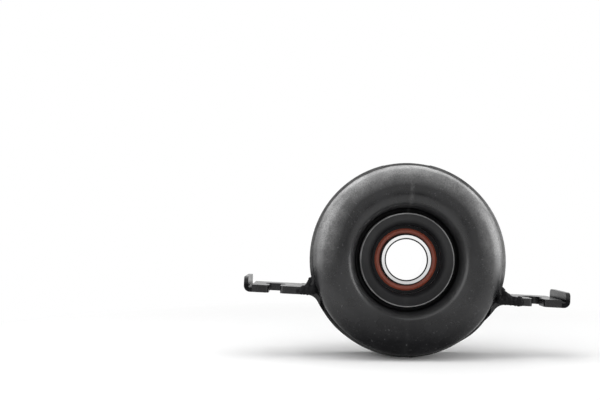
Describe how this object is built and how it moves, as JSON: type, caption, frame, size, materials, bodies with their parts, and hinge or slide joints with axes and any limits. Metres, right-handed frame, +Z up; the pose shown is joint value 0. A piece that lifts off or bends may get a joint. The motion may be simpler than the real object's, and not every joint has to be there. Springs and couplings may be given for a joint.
{
  "type": "driveshaft centre bearing",
  "caption": "Driveshaft centre support bearing: a sealed ball bearing in a folded rubber cushion, held in a strap ring of pressed steel with slotted bolting ears.",
  "frame": {"origin": "on the axis of the shaft bore, at the middle of the bearing's width", "axes": "+Y along the bore from the front to the rear, so that the front with the rubber fold faces -Y; X across the two bolting ears; +Z up, with the seats under the ears facing -Z"},
  "size_m": [0.237, 0.0501, 0.1435],
  "materials": {
    "black_strap": "semi-gloss black paint",
    "black_weld": "rough weld under black paint",
    "shell_steel": "black coated sheet",
    "black_rubber": "satin moulded rubber",
    "sleeve_steel": "drawn sheet steel",
    "outer_ring_steel": "ground steel",
    "inner_ring_steel": "bright ground steel",
    "brown_seal": "satin red-brown rubber",
    "cage_steel": "pressed sheet steel",
    "ball_steel": "polished bearing steel"
  },
  "bodies": {
    "housing": {"lower_strap": "black_strap", "upper_strap": "black_strap", "weld_beads": "black_weld", "outer_shell": "shell_steel", "rubber_cushion": "black_rubber", "bearing_sleeve": "sleeve_steel", "bearing_outer_ring": "outer_ring_steel", "front_seal": "brown_seal", "rear_seal": "brown_seal"},
    "inner_ring": {"bearing_inner_ring": "inner_ring_steel"},
    "ball_set": {"front_cage": "cage_steel", "rear_cage": "cage_steel", "cage_rivets": "cage_steel", "ball_01": "ball_steel", "ball_02": "ball_steel", "ball_03": "ball_steel", "ball_04": "ball_steel", "ball_05": "ball_steel", "ball_06": "ball_steel", "ball_07": "ball_steel", "ball_08": "ball_steel", "ball_09": "ball_steel", "ball_10": "ball_steel", "ball_11": "ball_steel"}
  },
  "joints": [
    {"name": "inner_ring_spin", "type": "hinge", "parent": "housing", "child": "inner_ring", "pos_m": [0, 0, 0], "axis": [0, 1, 0], "continuous": true},
    {"name": "ball_set_orbit", "type": "hinge", "parent": "housing", "child": "ball_set", "pos_m": [0, 0, 0], "axis": [0, 1, 0], "continuous": true}
  ],
  "couplings": [
    {"joint": "ball_set_orbit", "follows": "inner_ring_spin", "ratio": 0.41487}
  ]
}
